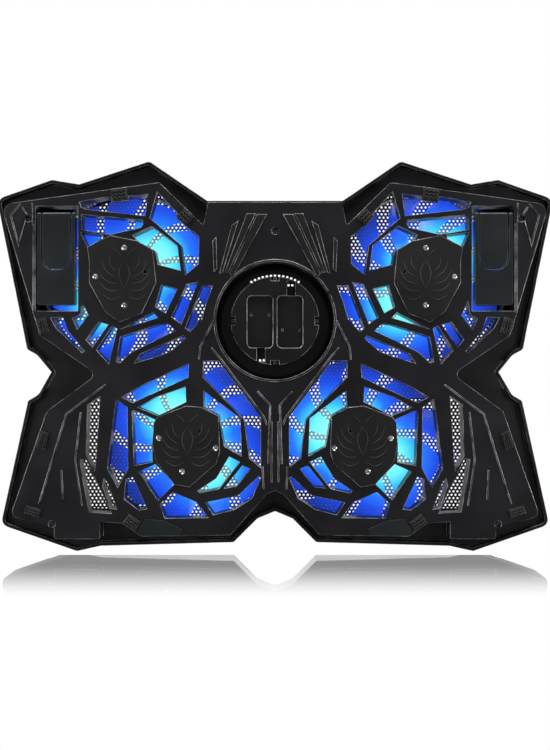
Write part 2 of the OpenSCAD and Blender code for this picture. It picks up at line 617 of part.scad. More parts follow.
module dial(x) color([0.08, 0.08, 0.085]) translate([x, dial_y, 0]) difference() {
    post(0, 0, dial_r, dial_z, dial_z + dial_t);
    for (k = [0:23]) rotate([0, 0, 15 * k]) post(dial_r + 0.15, 0, 0.5, dial_z - 1, dial_z + dial_t + 1);
    post(0, 0, dial_axle_r + running_gap, dial_z - 1, dial_z + dial_t + 1);
    post(4, 0, 0.6, dial_z + dial_t - 0.5, dial_z + dial_t + 1);
}
module speed_dial() dial(dial_x[1]);
module light_dial() dial(dial_x[0]);
module dial_pots() color([0.15, 0.3, 0.6]) for (x = dial_x) {
    block(x - 4.5, x + 4.5, 104.5, 111.9, usb_z, usb_z + 1.4);
    post(x, dial_y, dial_axle_r, usb_z + 1.4 - eps, dial_z + dial_t + 0.4);
}

module wire_harness() color([0.6, 0.05, 0.05]) both_sides() for (w = [rear_wire, front_wire]) {
    strip(w, wire_w, wire_z, wire_z + wire_t);
    post(w[0].x, w[0].y, 0.6, wire_z, board_z);
    post(w[len(w) - 1].x, w[len(w) - 1].y, 0.5, motor_floor + 1.6, wire_z + eps);
}

top_frame();
bottom_cover();
mesh_panel_right();
mesh_panel_left();
centre_badge();
centre_disc();
rubber_pads();
control_board();
board_screws();
case_screws();
fan_screws();
usb_port_inner();
usb_port_outer();
usb_tongues();
speed_dial();
light_dial();
dial_pots();
wire_harness();
led_chips();
leg_right();
leg_left();
low_leg_right();
low_leg_left();
leg_pin_right();
leg_pin_left();
stop_right();
stop_left();
stop_pin_right();
stop_pin_left();
for (fan = FANS) {
    rotor(fan);
    shaft(fan);
    magnet(fan);
    stator(fan);
    bearing(fan);
    fan_base(fan);
    led_ring(fan);
}
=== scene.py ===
"""Looks of a laptop cooling pad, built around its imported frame."""

import json
import math

import bmesh
import bpy
from mathutils import Matrix, Vector

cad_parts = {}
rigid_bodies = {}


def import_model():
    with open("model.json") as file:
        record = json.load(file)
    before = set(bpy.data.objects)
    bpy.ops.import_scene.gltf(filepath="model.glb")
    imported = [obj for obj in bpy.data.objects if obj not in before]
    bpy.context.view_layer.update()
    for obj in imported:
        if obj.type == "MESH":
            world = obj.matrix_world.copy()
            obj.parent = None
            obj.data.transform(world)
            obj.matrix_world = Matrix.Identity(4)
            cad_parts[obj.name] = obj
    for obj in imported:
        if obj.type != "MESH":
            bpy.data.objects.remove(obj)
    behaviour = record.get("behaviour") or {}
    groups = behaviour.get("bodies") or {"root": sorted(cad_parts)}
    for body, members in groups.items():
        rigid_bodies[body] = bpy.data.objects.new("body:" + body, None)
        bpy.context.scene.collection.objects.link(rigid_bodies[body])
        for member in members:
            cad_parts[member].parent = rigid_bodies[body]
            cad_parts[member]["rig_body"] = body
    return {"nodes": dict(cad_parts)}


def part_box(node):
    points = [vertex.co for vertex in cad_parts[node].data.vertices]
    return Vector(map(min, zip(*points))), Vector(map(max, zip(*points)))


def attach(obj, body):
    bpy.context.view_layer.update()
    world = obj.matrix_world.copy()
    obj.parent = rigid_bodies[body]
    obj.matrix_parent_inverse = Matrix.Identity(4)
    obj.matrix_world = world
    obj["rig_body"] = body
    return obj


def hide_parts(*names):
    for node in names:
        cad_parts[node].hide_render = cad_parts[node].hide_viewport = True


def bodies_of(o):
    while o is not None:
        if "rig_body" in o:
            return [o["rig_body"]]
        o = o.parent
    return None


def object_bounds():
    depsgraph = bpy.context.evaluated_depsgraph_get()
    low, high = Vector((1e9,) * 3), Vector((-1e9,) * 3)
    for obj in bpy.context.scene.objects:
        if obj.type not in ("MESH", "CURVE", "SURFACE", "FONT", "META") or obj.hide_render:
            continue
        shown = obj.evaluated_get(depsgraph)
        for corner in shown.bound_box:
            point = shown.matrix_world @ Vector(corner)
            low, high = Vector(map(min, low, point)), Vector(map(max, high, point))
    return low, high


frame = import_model()
cad_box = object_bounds()
mm = 0.001
full_turn = 2 * math.pi
scene = bpy.context.scene
white = (1, 1, 1, 1)

# Fans: centre in mm, middle of a gap between two blades and the two brightest lamps in degrees
FANS = {
    "rear_right": {"centre": (110, 58), "gap": 21.5, "lamps": (141, 321)},
    "rear_left": {"centre": (-110, 58), "gap": 12, "lamps": (130, 310)},
    "front_right": {"centre": (64, -63.5), "gap": 21.5, "lamps": (58, 238)},
    "front_left": {"centre": (-64, -63.5), "gap": 4, "lamps": (15, 215)},
}


# ---- camera, stage and lights


def link(obj):
    scene.collection.objects.link(obj)
    return obj


def add_camera():
    """Straight below the pad, looking up at its cover, with the rear edge at the top."""
    camera = link(bpy.data.objects.new("camera", bpy.data.cameras.new("camera")))
    camera.data.lens = 32.85
    camera.location = (0, -13.8 * mm, -498 * mm)
    camera.rotation_euler = (0, math.pi, 0)
    scene.camera = camera


def add(tree, kind, inputs=None, **settings):
    """Adds a node: settings are its own properties, and inputs are links or values by socket."""
    node = tree.nodes.new(kind)
    for key, value in settings.items():
        setattr(node, key, value)
    for key, value in (inputs or {}).items():
        if isinstance(value, bpy.types.NodeSocket):
            tree.links.new(value, node.inputs[key])
        else:
            node.inputs[key].default_value = value
    return node


def calc(tree, operation, *values):
    return add(tree, "ShaderNodeMath", dict(enumerate(values)), operation=operation).outputs[0]


def fresh_tree(material):
    material.use_nodes = True
    material.node_tree.nodes.clear()
    return material.node_tree


def sheet_mesh(name, width, depth):
    """A flat rectangle about the origin, facing +Z."""
    mesh = bpy.data.meshes.new(name)
    x, y = width / 2, depth / 2
    mesh.from_pydata([(-x, -y, 0), (x, -y, 0), (x, y, 0), (-x, y, 0)], [], [(0, 1, 2, 3)])
    return mesh


def stage_piece(name, width, depth, place, turn, material):
    obj = link(bpy.data.objects.new(name, sheet_mesh(name, width, depth)))
    obj.location = place
    obj.rotation_euler = turn
    obj.data.materials.append(material)
    obj.visible_diffuse = False
    obj.visible_glossy = False
    obj.visible_shadow = False
    return obj


def table_top():
    """Pale table that fades into the white surroundings, and isn't there when seen from below."""
    material = bpy.data.materials.new("pale_table")
    tree = fresh_tree(material)
    place = add(tree, "ShaderNodeTexCoord").outputs["Object"]
    distance = add(tree, "ShaderNodeVectorMath", {0: place}, operation="LENGTH").outputs["Value"]
    fade = add(tree, "ShaderNodeMapRange", {"Value": distance, "From Min": 0.3, "From Max": 0.95},
               interpolation_type="SMOOTHSTEP").outputs["Result"]
    matt = add(tree, "ShaderNodeBsdfPrincipled",
               {"Base Color": (0.8, 0.8, 0.8, 1), "Roughness": 0.55})
    bright = add(tree, "ShaderNodeEmission", {"Color": white, "Strength": 1})
    seen = add(tree, "ShaderNodeMixShader", {0: fade, 1: matt.outputs[0], 2: bright.outputs[0]})
    below = add(tree, "ShaderNodeNewGeometry").outputs["Backfacing"]
    clear = add(tree, "ShaderNodeBsdfTransparent")
    both = add(tree, "ShaderNodeMixShader", {0: below, 1: seen.outputs[0], 2: clear.outputs[0]})
    add(tree, "ShaderNodeOutputMaterial", {"Surface": both.outputs[0]})
    stage_piece("table_top", 8, 8, (0, 0, 0), (0, 0, 0), material)


def glossy_sill():
    """Polished white surface under the front edge: mirrors the cover and fades out forwards."""
    material = bpy.data.materials.new("polished_sill")
    tree = fresh_tree(material)
    place = add(tree, "ShaderNodeTexCoord").outputs["Object"]
    out = add(tree, "ShaderNodeSeparateXYZ", {0: place}).outputs["Y"]
    share = add(tree, "ShaderNodeMapRange",
                {"Value": out, "From Min": 0.3, "From Max": 0.38, "To Min": 0, "To Max": 0.74},
                interpolation_type="SMOOTHSTEP").outputs["Result"]
    bright = add(tree, "ShaderNodeEmission", {"Color": white, "Strength": 1})
    mirror = add(tree, "ShaderNodeBsdfGlossy", {"Color": white, "Roughness": 0.03})
    both = add(tree, "ShaderNodeMixShader", {0: share, 1: bright.outputs[0], 2: mirror.outputs[0]})
    add(tree, "ShaderNodeOutputMaterial", {"Surface": both.outputs[0]})
    sill = stage_piece("polished_sill", 3, 0.8, (0, cad_box[0].y - 0.4 * mm, -0.4),
                       (math.pi / 2, 0, 0), material)
    sill.data.flip_normals()
    # What the sill mirrors where the pad isn't: a white card high behind the rear edge
    glow = bpy.data.materials.new("white_card")
    tree = fresh_tree(glow)
    light = add(tree, "ShaderNodeEmission", {"Color": white, "Strength": 1})
    add(tree, "ShaderNodeOutputMaterial", {"Surface": light.outputs[0]})
    card = stage_piece("white_card", 5, 1.2, (0, 0.5, 1.5), (0, 0, 0), glow)
    card.visible_glossy = True
    card.visible_camera = False
    card.visible_transmission = False


# Soft lights: place, width and depth in m, and power in W. All point at the middle of the pad
SOFT_LIGHTS = {
    "rear_strip": ((0, 1.0, -0.22), 1.6, 0.22, 19),
    "right_fill": ((1.0, 0.0, -0.2), 0.25, 1.0, 9),
    "left_fill": ((-1.0, 0.0, -0.2), 0.25, 1.0, 9),
    "front_fill": ((0, -0.9, -0.5), 1.2, 0.2, 3),
    "top_softbox": ((0, -0.3, 1.2), 1.2, 1.2, 11),
}


def soft_light(name, place, width, depth, watts):
    data = bpy.data.lights.new(name, "AREA")
    data.shape = "RECTANGLE"
    data.size, data.size_y = width, depth
    data.energy = watts
    lamp = link(bpy.data.objects.new(name, data))
    lamp.location = place
    lamp.rotation_euler = (Vector() - Vector(place)).to_track_quat("-Z", "Y").to_euler()
    lamp.visible_camera = False


def studio():
    """White surroundings for the eye, dim ones for the surfaces, and soft lights on both sides."""
    scene.view_settings.view_transform = "Standard"
    world = bpy.data.worlds.new("studio")
    world.use_nodes = True
    tree = world.node_tree
    tree.nodes.clear()
    eye = add(tree, "ShaderNodeLightPath").outputs["Is Camera Ray"]
    dim = add(tree, "ShaderNodeBackground", {"Color": (0.9, 0.95, 1, 1), "Strength": 0.09})
    bright = add(tree, "ShaderNodeBackground", {"Color": white, "Strength": 1})
    both = add(tree, "ShaderNodeMixShader", {0: eye, 1: dim.outputs[0], 2: bright.outputs[0]})
    add(tree, "ShaderNodeOutputWorld", {"Surface": both.outputs[0]})
    scene.world = world
    table_top()
    glossy_sill()
    for name, facts in SOFT_LIGHTS.items():
        soft_light(name, *facts)


# ---- shader groups


def shader_group(name, inputs, outputs):
    """An empty shader group with named sockets: {name: (kind, value)} in, {name: kind} out."""
    kinds = {"value": "NodeSocketFloat", "colour": "NodeSocketColor", "vector": "NodeSocketVector"}
    group = bpy.data.node_groups.new(name, "ShaderNodeTree")
    for label, (kind, value) in inputs.items():
        socket = group.interface.new_socket(label, in_out="INPUT", socket_type=kinds[kind])
        if value is not None:
            socket.default_value = value
    for label, kind in outputs.items():
        group.interface.new_socket(label, in_out="OUTPUT", socket_type=kinds[kind])
    return group, group.nodes.new("NodeGroupInput"), group.nodes.new("NodeGroupOutput")


def wire_out(group, end, sockets):
    for label, socket in sockets.items():
        group.links.new(socket, end.inputs[label])


def make_moulded_grain():
    """Spark-eroded grain: Tone varies slowly over the shell, and Height holds the fine grain."""
    group, start, end = shader_group("moulded_grain",
                                     {"Place": ("vector", None), "Grain Size": ("value", 0.0005),
                                      "Patch Size": ("value", 0.04)},
                                     {"Tone": "value", "Height": "value"})
    fine_scale = calc(group, "DIVIDE", 1.0, start.outputs["Grain Size"])
    fine = add(group, "ShaderNodeTexNoise", {"Vector": start.outputs["Place"], "Scale": fine_scale,
                                             "Detail": 2.0, "Roughness": 0.6})
    broad_scale = calc(group, "DIVIDE", 1.0, start.outputs["Patch Size"])
    broad = add(group, "ShaderNodeTexNoise",
                {"Vector": start.outputs["Place"], "Scale": broad_scale, "Detail": 3.0,
                 "Roughness": 0.55})
    mixed = calc(group, "MULTIPLY_ADD", fine.outputs["Fac"], 0.25, broad.outputs["Fac"])
    tone = add(group, "ShaderNodeMapRange", {"Value": mixed, "From Min": 0.35, "From Max": 0.9})
    wire_out(group, end, {"Tone": tone.outputs["Result"], "Height": fine.outputs["Fac"]})
    return group


def make_wear_and_edge_highlights():
    """Rubbed edges, which also carry painted edge highlights: Mask is high on rounded edges, in
    uneven patches.
    """
    group, start, end = shader_group(
        "wear_and_edge_highlights", {"Place": ("vector", None), "Amount": ("value", 0.5)}, {"Mask": "value"})
    edge = add(group, "ShaderNodeAttribute", attribute_name="edge")
    patches = add(group, "ShaderNodeTexNoise", {"Vector": start.outputs["Place"], "Scale": 90.0,
                                                "Detail": 4.0, "Roughness": 0.7})
    cut = add(group, "ShaderNodeMapRange",
              {"Value": patches.outputs["Fac"], "From Min": 0.38, "From Max": 0.62})
    held = calc(group, "MULTIPLY", cut.outputs["Result"], start.outputs["Amount"])
    wire_out(group, end, {"Mask": calc(group, "MULTIPLY", held, edge.outputs["Fac"])})
    return group


def make_settled_dust():
    """Thin dust on faces that look up: Mask."""
    group, start, end = shader_group(
        "settled_dust", {"Place": ("vector", None), "Amount": ("value", 0.2)}, {"Mask": "value"})
    normal = add(group, "ShaderNodeNewGeometry").outputs["Normal"]
    up = add(group, "ShaderNodeSeparateXYZ", {0: normal}).outputs["Z"]
    facing = add(group, "ShaderNodeMapRange",
                 {"Value": up, "From Min": 0.5, "From Max": 1.0}).outputs["Result"]
    specks = add(group, "ShaderNodeTexNoise", {"Vector": start.outputs["Place"], "Scale": 260.0,
                                               "Detail": 6.0, "Roughness": 0.75}).outputs["Fac"]
    cut = add(group, "ShaderNodeMapRange",
              {"Value": specks, "From Min": 0.5, "From Max": 0.8}).outputs["Result"]
    both = calc(group, "MULTIPLY", facing, cut)
    wire_out(group, end, {"Mask": calc(group, "MULTIPLY", both, start.outputs["Amount"])})
    return group


# How softly one lamp's light passes into the next, and how much further off a weak lamp seems, in m
lamp_blend = 0.012
row_blend = 0.01
weak_drop = 0.016

# Colour of the painted light from beside a lamp, at 0, to the end of its reach, at 1
LAMP_COLOURS = [
    (0.0, (0.4, 1.0, 1.0, 1)), (0.24, (0.16, 0.95, 1.0, 1)), (0.36, (0.05, 0.55, 1.0, 1)),
    (0.47, (0.02, 0.19, 1.0, 1)), (0.62, (0.012, 0.075, 0.8, 1)), (0.8, (0.008, 0.035, 0.36, 1)),
    (1.0, (0.005, 0.015, 0.12, 1))]


def make_lamp_glow():
    """Painted light of a fan's lamps, two of them weak, by distance from them: Colour, and Glow
    from 0 up to 1 at a lamp.
    """
    group, start, end = shader_group("lamp_glow",
                                     {"Place": ("vector", None), "Lamp A": ("vector", None),
                                      "Lamp B": ("vector", None), "Weak A": ("vector", None),
                                      "Weak B": ("vector", None), "Reach": ("value", 0.06)},
                                     {"Colour": "colour", "Glow": "value"})
    ways = [add(group, "ShaderNodeVectorMath", {0: start.outputs["Place"], 1: start.outputs[lamp]},
                operation="DISTANCE").outputs["Value"]
            for lamp in ("Lamp A", "Lamp B", "Weak A", "Weak B")]
    strong = calc(group, "SMOOTH_MIN", ways[0], ways[1], lamp_blend)
    weak = calc(group, "ADD", calc(group, "SMOOTH_MIN", ways[2], ways[3], lamp_blend), weak_drop)
    nearest = calc(group, "SMOOTH_MIN", strong, weak, row_blend)
    far = calc(group, "DIVIDE", nearest, start.outputs["Reach"])
    ramp = add(group, "ShaderNodeValToRGB", {"Fac": far})
    while len(ramp.color_ramp.elements) < len(LAMP_COLOURS):
        ramp.color_ramp.elements.new(0.5)
    for element, (position, colour) in zip(ramp.color_ramp.elements, LAMP_COLOURS):
        element.position = position
        element.color = colour
    glow = add(group, "ShaderNodeMath", {0: 1.0, 1: far}, operation="SUBTRACT",
               use_clamp=True).outputs[0]
    wire_out(group, end, {"Colour": ramp.outputs["Color"], "Glow": glow})
    return group


moulded_grain = make_moulded_grain()
wear_and_edge_highlights = make_wear_and_edge_highlights()
settled_dust = make_settled_dust()
lamp_glow = make_lamp_glow()


# ---- materials

# Circle of the lamps and their height, in mm, and how far their light reaches
lamp_circle, lamp_height, lamp_reach = 23, 18, 62


def use(tree, group, inputs):
    """Places a shader group in a tree, and gives its outputs."""
    return add(tree, "ShaderNodeGroup", inputs, node_tree=group).outputs


def blend_colour(tree, share, first, second):
    return add(tree, "ShaderNodeMix", {"Factor": share, 6: first, 7: second},
               data_type="RGBA").outputs[2]


def range_of(tree, value, low, high):
    return add(tree, "ShaderNodeMapRange",
               {"Value": value, "To Min": low, "To Max": high}).outputs["Result"]


def shell_plastic(name, dark, light, rough, grain=0.5, depth=0.03, wear_and_highlight_amount=0.5,
                  wear_and_highlight_colour=(0.12, 0.12, 0.125), dust=0.0, coat=0.0):
    """Moulded plastic, dark to light in patches, with rounded edges lightened partly as wear and
    partly as a painted edge highlight. Grain and depth in mm.
    """
    material = bpy.data.materials.new(name)
    tree = fresh_tree(material)
    place = add(tree, "ShaderNodeTexCoord").outputs["Object"]
    grained = use(tree, moulded_grain, {"Place": place, "Grain Size": grain * mm})
    wear_and_highlight_mask = use(tree, wear_and_edge_highlights, {"Place": place, "Amount": wear_and_highlight_amount})["Mask"]
    colour = blend_colour(tree, grained["Tone"], (*dark, 1), (*light, 1))
    # Rounded edges blended towards a light grey: partly wear, partly a painted edge highlight
    colour = blend_colour(tree, wear_and_highlight_mask, colour, (*wear_and_highlight_colour, 1))
    if dust:
        dusty = use(tree, settled_dust, {"Place": place, "Amount": dust})["Mask"]
        colour = blend_colour(tree, dusty, colour, (0.35, 0.34, 0.32, 1))
    shine = range_of(tree, grained["Tone"], rough - 0.05, rough + 0.07)
    shine = calc(tree, "MULTIPLY_ADD", wear_and_highlight_mask, -0.25, shine)
    bump = add(tree, "ShaderNodeBump",
               {"Height": grained["Height"], "Strength": 0.6, "Distance": depth * mm})
    shader = add(tree, "ShaderNodeBsdfPrincipled",
                 {"Base Color": colour, "Roughness": shine, "Normal": bump.outputs["Normal"],
                  "Coat Weight": coat, "Coat Roughness": 0.08})
    add(tree, "ShaderNodeOutputMaterial", {"Surface": shader.outputs[0]})
    return material


def bare_metal(name, dark, light, rough, stretch=(1, 1, 12), scale=400.0, depth=0.01):
    """Metal with fine marks along one way."""
    material = bpy.data.materials.new(name)
    tree = fresh_tree(material)
    place = add(tree, "ShaderNodeTexCoord").outputs["Object"]
    along = add(tree, "ShaderNodeMapping", {"Vector": place, "Scale": stretch}).outputs["Vector"]
    marks = add(tree, "ShaderNodeTexNoise",
                {"Vector": along, "Scale": scale, "Detail": 4.0}).outputs["Fac"]
    colour = blend_colour(tree, marks, (*dark, 1), (*light, 1))
    shine = range_of(tree, marks, rough - 0.08, rough + 0.1)
    bump = add(tree, "ShaderNodeBump", {"Height": marks, "Strength": 0.5, "Distance": depth * mm})
    shader = add(tree, "ShaderNodeBsdfPrincipled",
                 {"Base Color": colour, "Roughness": shine, "Metallic": 1.0,
                  "Normal": bump.outputs["Normal"]})
    add(tree, "ShaderNodeOutputMaterial", {"Surface": shader.outputs[0]})
    return material


def lamp_light(tree, place, fan):
    """The painted light of one fan's four lamps at a place."""
    x, y = FANS[fan]["centre"]
    first, second = FANS[fan]["lamps"]
    spots = [((x + lamp_circle * math.cos(math.radians(a))) * mm,
              (y + lamp_circle * math.sin(math.radians(a))) * mm, lamp_height * mm)
             for a in (first, second, first + 90, second + 90)]
    names = ("Lamp A", "Lamp B", "Weak A", "Weak B")
    return use(tree, lamp_glow,
               {"Place": place, **dict(zip(names, spots)), "Reach": lamp_reach * mm})


def lit_blade_plastic(fan):
    """Clear blue blade plastic, with the light from the ring of lamps about its hub painted on as a
    glow.
    """
    material = bpy.data.materials.new("lit_blades_" + fan)
    tree = fresh_tree(material)
    place = add(tree, "ShaderNodeTexCoord").outputs["Object"]
    lit = lamp_light(tree, place, fan)
    grained = use(tree, moulded_grain,
                  {"Place": place, "Grain Size": 0.8 * mm, "Patch Size": 12 * mm})
    shine = range_of(tree, grained["Tone"], 0.22, 0.4)
    bump = add(tree, "ShaderNodeBump",
               {"Height": grained["Height"], "Strength": 0.3, "Distance": 0.02 * mm})
    deep = blend_colour(tree, grained["Tone"], (0.01, 0.03, 0.16, 1), (0.015, 0.05, 0.24, 1))
    # Painted lamp light: the blades glow in the lamps' colour, and let less through near the lamps
    cover = range_of(tree, lit["Glow"], 0.8, 0.98)
    shader = add(tree, "ShaderNodeBsdfPrincipled",
                 {"Base Color": deep, "Roughness": shine, "Alpha": cover,
                  "Emission Color": lit["Colour"], "Emission Strength": 1.0,
                  "Normal": bump.outputs["Normal"]})
    add(tree, "ShaderNodeOutputMaterial", {"Surface": shader.outputs[0]})
    return material


def lit_sheet_steel(side):
    """Black coated sheet steel, with the blue light of the lamps of its two fans painted on as a
    glow on faces that look down.
    """
    material = bpy.data.materials.new("lit_sheet_" + side)
    tree = fresh_tree(material)
    place = add(tree, "ShaderNodeTexCoord").outputs["Object"]
    lights = [lamp_light(tree, place, end + side) for end in ("rear_", "front_")]
    both = add(tree, "ShaderNodeMix",
               {"Factor": 1.0, 6: lights[0]["Colour"], 7: lights[1]["Colour"]}, data_type="RGBA",
               blend_type="LIGHTEN").outputs[2]
    # Painted lamp light: glow on faces that look down, strongest near the lamps
    normal = add(tree, "ShaderNodeNewGeometry").outputs["Normal"]
    up = add(tree, "ShaderNodeSeparateXYZ", {0: normal}).outputs["Z"]
    under = add(tree, "ShaderNodeMapRange", {"Value": up, "From Min": -0.5, "From Max": 0.6,
                                             "To Min": 1.0, "To Max": 0.0}).outputs["Result"]
    glow = calc(tree, "MAXIMUM", lights[0]["Glow"], lights[1]["Glow"])
    near = add(tree, "ShaderNodeMapRange",
               {"Value": glow, "From Min": 0.02, "From Max": 0.35}).outputs["Result"]
    share = calc(tree, "MULTIPLY", under, near)
    lit = blend_colour(tree, share, (0, 0, 0, 1), both)
    grained = use(tree, moulded_grain, {"Place": place, "Grain Size": 0.3 * mm})
    colour = blend_colour(tree, grained["Tone"], (0.005, 0.005, 0.006, 1), (0.01, 0.01, 0.011, 1))
    shine = range_of(tree, grained["Tone"], 0.36, 0.5)
    bump = add(tree, "ShaderNodeBump",
               {"Height": grained["Height"], "Strength": 0.5, "Distance": 0.02 * mm})
    shader = add(tree, "ShaderNodeBsdfPrincipled",
                 {"Base Color": colour, "Roughness": shine, "Normal": bump.outputs["Normal"],
                  "Emission Color": lit, "Emission Strength": 0.45})
    add(tree, "ShaderNodeOutputMaterial", {"Surface": shader.outputs[0]})
    return material


def lamp_lens():
    """Lens of a blue lamp chip."""
    material = bpy.data.materials.new("lamp_lens")
    tree = fresh_tree(material)
    place = add(tree, "ShaderNodeTexCoord").outputs["Object"]
    grained = use(tree, moulded_grain,
                  {"Place": place, "Grain Size": 0.6 * mm, "Patch Size": 2 * mm})
    glow = blend_colour(tree, grained["Tone"], (0.2, 0.7, 1.0, 1), (0.5, 0.95, 1.0, 1))
    shader = add(tree, "ShaderNodeBsdfPrincipled",
                 {"Base Color": (0.5, 0.7, 0.9, 1), "Roughness": 0.2, "Emission Color": glow,
                  "Emission Strength": 2.5})
    add(tree, "ShaderNodeOutputMaterial", {"Surface": shader.outputs[0]})
    return material


# The light edge colours of the shells below are partly wear and partly painted edge highlights
deck_plastic = shell_plastic("deck_plastic", (0.003, 0.003, 0.0035), (0.006, 0.006, 0.0065), 0.33,
                             dust=0.12, wear_and_highlight_amount=0.9)
cover_plastic = shell_plastic("cover_plastic", (0.006, 0.0058, 0.0072), (0.0115, 0.0112, 0.0132),
                              0.36, wear_and_highlight_amount=1.0, wear_and_highlight_colour=(0.34, 0.34, 0.35))
shield_plastic = shell_plastic("shield_plastic", (0.004, 0.004, 0.004), (0.008, 0.0078, 0.0075),
                               0.45, grain=0.7, depth=0.05)
relief_plastic = shell_plastic("relief_plastic", (0.03, 0.029, 0.028), (0.07, 0.067, 0.064), 0.3)
disc_plastic = shell_plastic("disc_plastic", (0.003, 0.003, 0.0035), (0.006, 0.006, 0.0068), 0.4,
                             wear_and_highlight_amount=1.0, wear_and_highlight_colour=(0.3, 0.3, 0.3))
leg_plastic = shell_plastic("leg_plastic", (0.009, 0.0125, 0.0135), (0.014, 0.0185, 0.02), 0.36,
                            grain=0.7)
badge_plastic = shell_plastic("badge_plastic", (0.008, 0.008, 0.009), (0.012, 0.012, 0.014), 0.22,
                              depth=0.008, coat=0.6)
dial_plastic = shell_plastic("dial_plastic", (0.012, 0.012, 0.013), (0.022, 0.022, 0.024), 0.5)
motor_plastic = shell_plastic("motor_plastic", (0.01, 0.01, 0.01), (0.018, 0.018, 0.018), 0.55)
pad_rubber = shell_plastic("pad_rubber", (0.006, 0.006, 0.006), (0.014, 0.014, 0.014), 0.75,
                           grain=0.9, depth=0.08)
board_mask = shell_plastic("board_mask", (0.004, 0.01, 0.006), (0.008, 0.03, 0.016), 0.35,
                           grain=1.5)
ferrite = shell_plastic("ferrite", (0.02, 0.019, 0.018), (0.045, 0.042, 0.04), 0.6, grain=0.8)
lead_jacket = shell_plastic("lead_jacket", (0.02, 0.02, 0.021), (0.035, 0.035, 0.036), 0.5)
bright_zinc = bare_metal("bright_zinc", (0.55, 0.55, 0.54), (0.8, 0.8, 0.78), 0.28)
black_zinc = bare_metal("black_zinc", (0.03, 0.03, 0.032), (0.07, 0.07, 0.075), 0.4)
lacquered_copper = bare_metal("lacquered_copper", (0.35, 0.14, 0.05), (0.6, 0.28, 0.1), 0.35,
                              (1, 1, 3), 900.0)
sintered_bronze = bare_metal("sintered_bronze", (0.4, 0.26, 0.1), (0.55, 0.38, 0.16), 0.45,
                             (1, 1, 1), 1500.0)
lamp_chip = lamp_lens()


# ---- mesh helpers


def settle(obj):
    """Keeps the object's evaluated shape as its own plain mesh."""
    graph = bpy.context.evaluated_depsgraph_get()
    made = bpy.data.meshes.new_from_object(obj.evaluated_get(graph), preserve_all_data_layers=True,
                                           depsgraph=graph)
    obj.modifiers.clear()
    obj.data = made
    return obj


def smooth(mesh, degrees=35):
    mesh.shade_smooth()
    mesh.set_sharp_from_angle(angle=math.radians(degrees))


def even_normals(obj):
    """Shades flat faces flat and rounded edges smoothly."""
    smooth(obj.data)
    modifier = obj.modifiers.new("even_normals", "WEIGHTED_NORMAL")
    modifier.keep_sharp = True
    return settle(obj)


def placed(obj, body, replaced=(), materials=()):
    """Gives a finished piece its materials and its body, and hides the nodes that it stands for."""
    for material in materials:
        obj.data.materials.append(material)
    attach(obj, body)
    if replaced:
        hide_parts(*replaced)
    return obj


def node_shape(node, below=1.0):
    """A node's shape, its loose triangles joined and its flat faces below a height made whole."""
    shape = bmesh.new()
    shape.from_mesh(frame["nodes"][node].data)
    bmesh.ops.remove_doubles(shape, verts=shape.verts, dist=0.002 * mm)
    verts = [v for v in shape.verts if v.co.z < below]
    edges = [e for e in shape.edges if e.verts[0].co.z < below and e.verts[1].co.z < below]
    bmesh.ops.dissolve_limit(shape, angle_limit=math.radians(0.8), verts=verts, edges=edges)
    bmesh.ops.triangulate(shape, faces=shape.faces)
    return shape


def round_edges(shape, width, segments, limit=32):
    """Rounds the sharp edges and marks the faces that this makes."""
    mark = shape.faces.layers.float.new("edge")
    sharp = [e for e in shape.edges if e.is_manifold and e.calc_face_angle(0) > math.radians(limit)]
    made = bmesh.ops.bevel(shape, geom=sharp, offset=width, offset_type="OFFSET", segments=segments,
                           profile=0.5, affect="EDGES", clamp_overlap=False)
    for face in made["faces"]:
        face[mark] = 1.0


def rounded(node, body, material, width=0.3, segments=2):
    """A CAD node's shape with rounded edges, standing for it."""
    shape = node_shape(node)
    round_edges(shape, width * mm, segments)
    mesh = bpy.data.meshes.new(node + "_shell")
    shape.to_mesh(mesh)
    shape.free()
    obj = even_normals(link(bpy.data.objects.new(node + "_shell", mesh)))
    return placed(obj, body, [node], [material])


def body_of(node):
    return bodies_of(frame["nodes"][node])[0]


def finish_node(node, material):
    """A CAD node that stays as it is, with its finish."""
    obj = frame["nodes"][node]
    obj.data.materials.clear()
    obj.data.materials.append(material)


def solids_in(node):
    """The separate solids of a node, each as the list of its corners."""
    shape = bmesh.new()
    shape.from_mesh(frame["nodes"][node].data)
    bmesh.ops.remove_doubles(shape, verts=shape.verts, dist=0.002 * mm)
    left, solids = set(shape.verts), []
    while left:
        heap, found = [left.pop()], []
        while heap:
            vert = heap.pop()
            found.append(vert.co.copy())
            for edge in vert.link_edges:
                other = edge.other_vert(vert)
                if other in left:
                    left.discard(other)
                    heap.append(other)
        solids.append(sorted(found, key=tuple))
    shape.free()
    return sorted(solids, key=lambda corners: tuple(corners[0]))


def middle_of(points):
    low = Vector([min(p[i] for p in points) for i in range(3)])
    high = Vector([max(p[i] for p in points) for i in range(3)])
    return (low + high) / 2, low, high


def ring(shape, radius, height, steps):
    """A level ring of corners about the Z axis, or one corner where the radius is 0."""
    if radius == 0:
        return [shape.verts.new((0, 0, height))]
    return [shape.verts.new((radius * math.cos(full_turn * i / steps),
                             radius * math.sin(full_turn * i / steps), height))
            for i in range(steps)]


def join_rings(shape, rings, steps):
    """Makes the faces between rings, and turns them all outwards."""
    for low, high in zip(rings, rings[1:]):
        for i in range(steps):
            j = (i + 1) % steps
            corners = [low[i % len(low)], low[j % len(low)], high[j % len(high)],
                       high[i % len(high)]]
            shape.faces.new([v for k, v in enumerate(corners) if v not in corners[:k]])
    bmesh.ops.recalc_face_normals(shape, faces=shape.faces)
    return shape


def lathe(profile, steps):
    """Turns a profile of (radius, height) about the Z axis. Radius 0 closes a pole."""
    shape = bmesh.new()
    return join_rings(shape, [ring(shape, *point, steps) for point in profile], steps)


